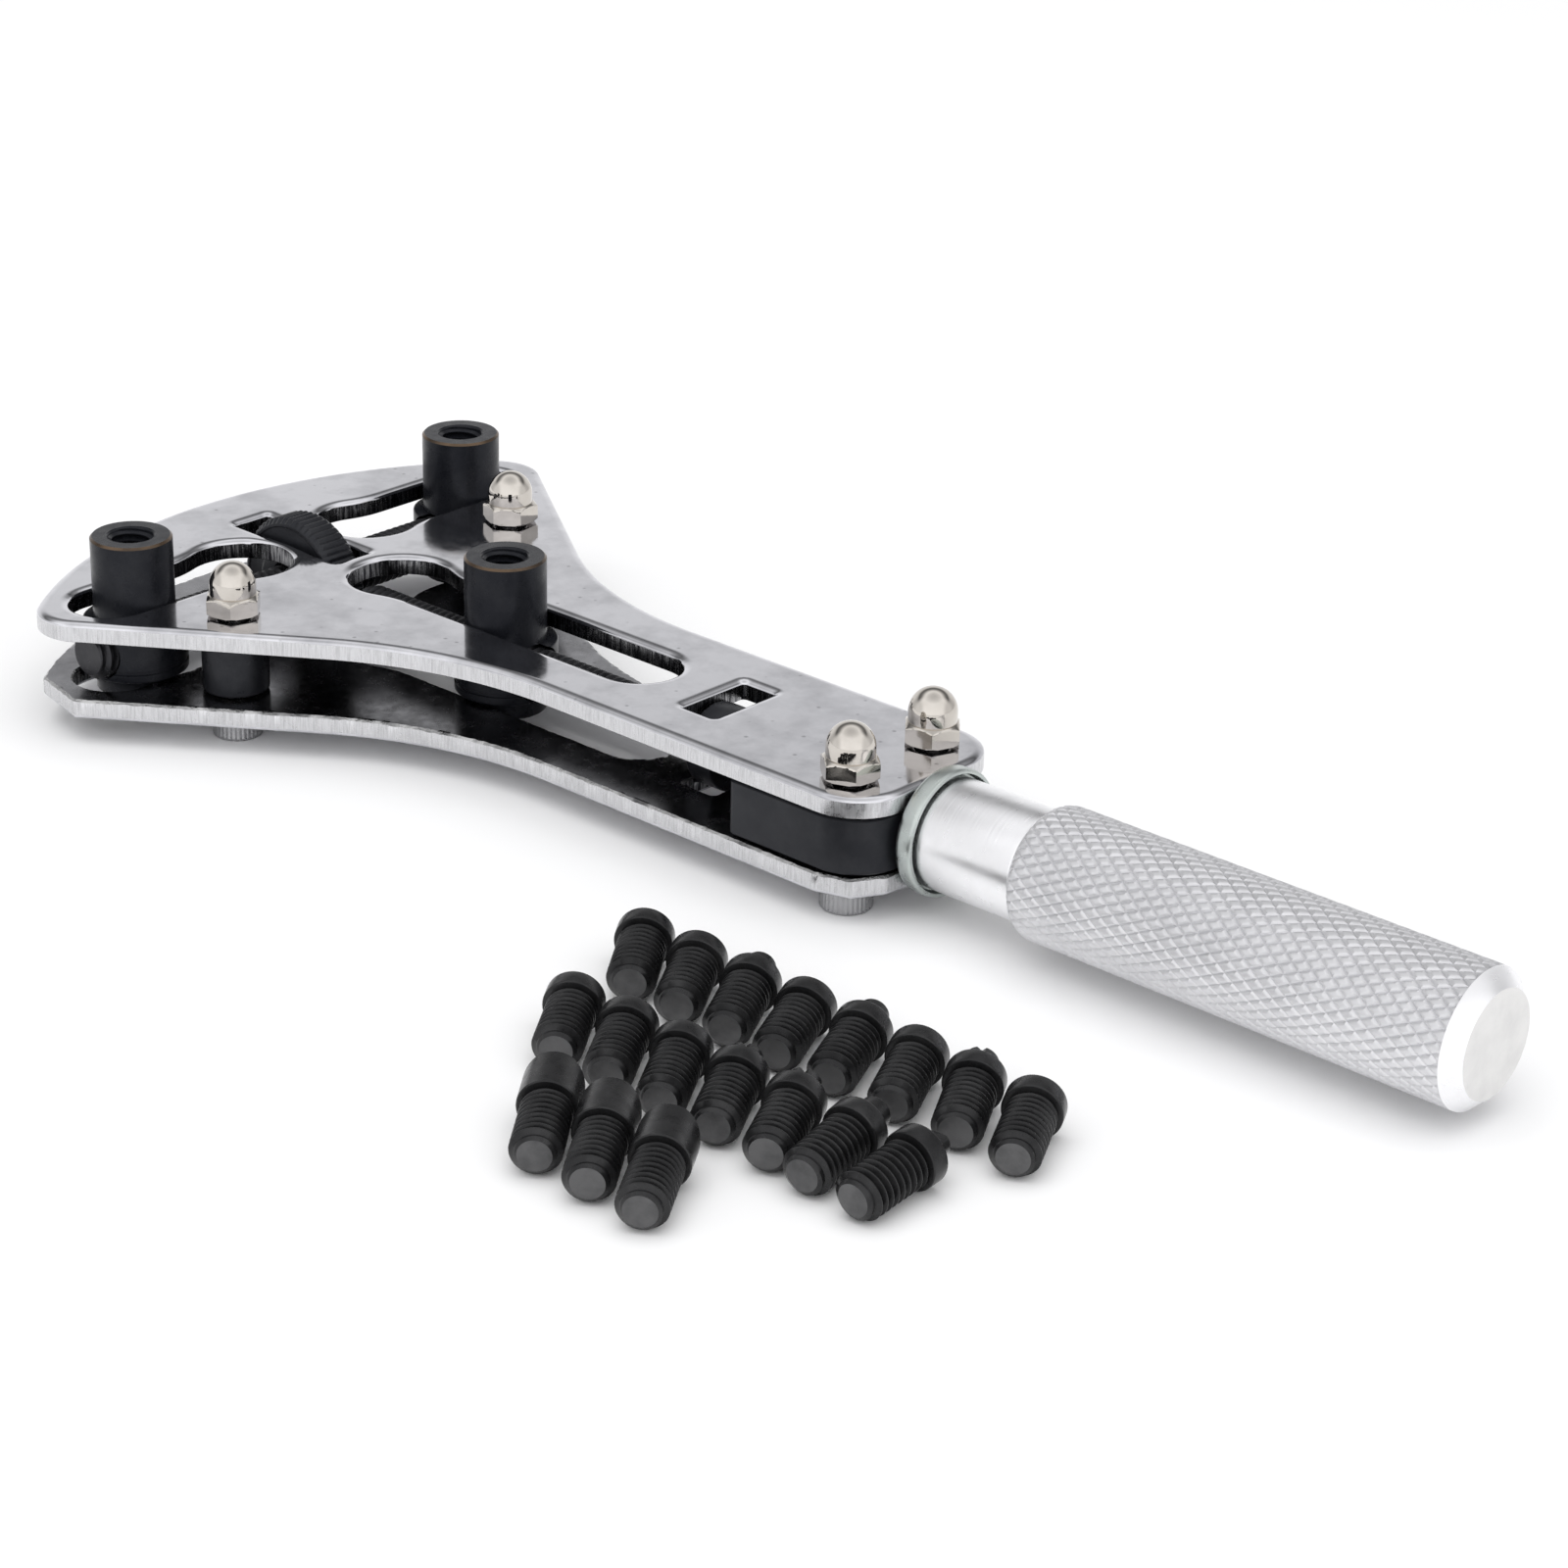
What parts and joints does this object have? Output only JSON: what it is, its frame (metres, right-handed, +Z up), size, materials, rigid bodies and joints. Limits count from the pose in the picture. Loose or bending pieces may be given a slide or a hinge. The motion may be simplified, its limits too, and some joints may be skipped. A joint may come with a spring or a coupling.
{
  "type": "case back opener",
  "caption": "Adjustable hand wrench for screw-down watch case backs: sliding threaded jaws between two plates, a thumb wheel, a knurled turning handle and loose screw-in bits.",
  "frame": {"origin": "outer face of the bottom plate, on the centre line, midway between the two handle-end screws", "axes": "+X from the head along the handle, +Y to the right-hand side, +Z up, the way the jaws point"},
  "size_m": [0.1775, 0.1041, 0.0208],
  "materials": {
    "polished_plate": "polished bright plating with faint mottling, rolled edges",
    "sheared_plate": "bright plating over a sheared, slightly torn edge",
    "black_steel": "satin black oxide",
    "bit_steel": "black oxide with bare, grey thread ends",
    "rod_steel": "dark oiled threaded rod",
    "screw_steel": "zinc-plated socket screws",
    "nickel_nut": "warm nickel plate, mirror bright",
    "zinc_washer": "zinc plate with a faint green tint",
    "turned_aluminium": "bright turned neck and diamond-knurled grip"
  },
  "bodies": {
    "frame": {"top_plate": "polished_plate", "bottom_plate": "sheared_plate", "end_block": "black_steel", "head_spacer_left": "black_steel", "head_spacer_right": "black_steel", "head_screw_left": "screw_steel", "head_screw_right": "screw_steel", "handle_screw_left": "screw_steel", "handle_screw_right": "screw_steel", "head_nut_left": "nickel_nut", "head_nut_right": "nickel_nut", "handle_nut_left": "nickel_nut", "handle_nut_right": "nickel_nut"},
    "head_drive": {"head_spindle": "rod_steel", "head_wheel": "black_steel"},
    "left_jaw": {"head_jaw_left": "black_steel"},
    "right_jaw": {"head_jaw_right": "black_steel"},
    "middle_jaw": {"centre_jaw": "black_steel"},
    "handle_drive": {"handle_spindle": "rod_steel", "spindle_collar": "black_steel", "thrust_washer": "zinc_washer", "handle": "turned_aluminium"},
    "bit_set": {"pin_bit_small_1": "bit_steel", "pin_bit_small_2": "bit_steel", "pin_bit_small_3": "bit_steel", "pin_bit_medium_1": "bit_steel", "pin_bit_medium_2": "bit_steel", "pin_bit_medium_3": "bit_steel", "pin_bit_large_1": "bit_steel", "pin_bit_large_2": "bit_steel", "pin_bit_large_3": "bit_steel", "flat_pin_bit_1": "bit_steel", "flat_pin_bit_2": "bit_steel", "flat_pin_bit_3": "bit_steel", "slotted_bit_1": "bit_steel", "slotted_bit_2": "bit_steel", "slotted_bit_3": "bit_steel", "wedge_bit_1": "bit_steel", "wedge_bit_2": "bit_steel", "wedge_bit_3": "bit_steel"}
  },
  "joints": [
    {"name": "head_wheel_spin", "type": "hinge", "parent": "frame", "child": "head_drive", "pos_m": [-0.0886, 0, 0.0055], "axis": [0, 1, 0], "range_deg": [-1080, 5400]},
    {"name": "left_jaw_slide", "type": "slide", "parent": "frame", "child": "left_jaw", "axis": [0, 1, 0], "range_m": [-0.003, 0.015]},
    {"name": "right_jaw_slide", "type": "slide", "parent": "frame", "child": "right_jaw", "axis": [0, -1, 0], "range_m": [-0.003, 0.015]},
    {"name": "handle_spin", "type": "hinge", "parent": "frame", "child": "handle_drive", "pos_m": [0.04, 0, 0.0055], "axis": [1, 0, 0], "range_deg": [-7128, 5832]},
    {"name": "middle_jaw_slide", "type": "slide", "parent": "frame", "child": "middle_jaw", "axis": [1, 0, 0], "range_m": [-0.0162, 0.0198]},
    {"name": "bit_set_lift", "type": "slide", "parent": "frame", "child": "bit_set", "axis": [0, 0, 1], "range_m": [0, 0.03]}
  ],
  "couplings": [
    {"joint": "left_jaw_slide", "follows": "head_wheel_spin", "m_per_rad": 0.00015915},
    {"joint": "right_jaw_slide", "follows": "head_wheel_spin", "m_per_rad": 0.00015915},
    {"joint": "middle_jaw_slide", "follows": "handle_spin", "m_per_rad": -0.00015915}
  ]
}
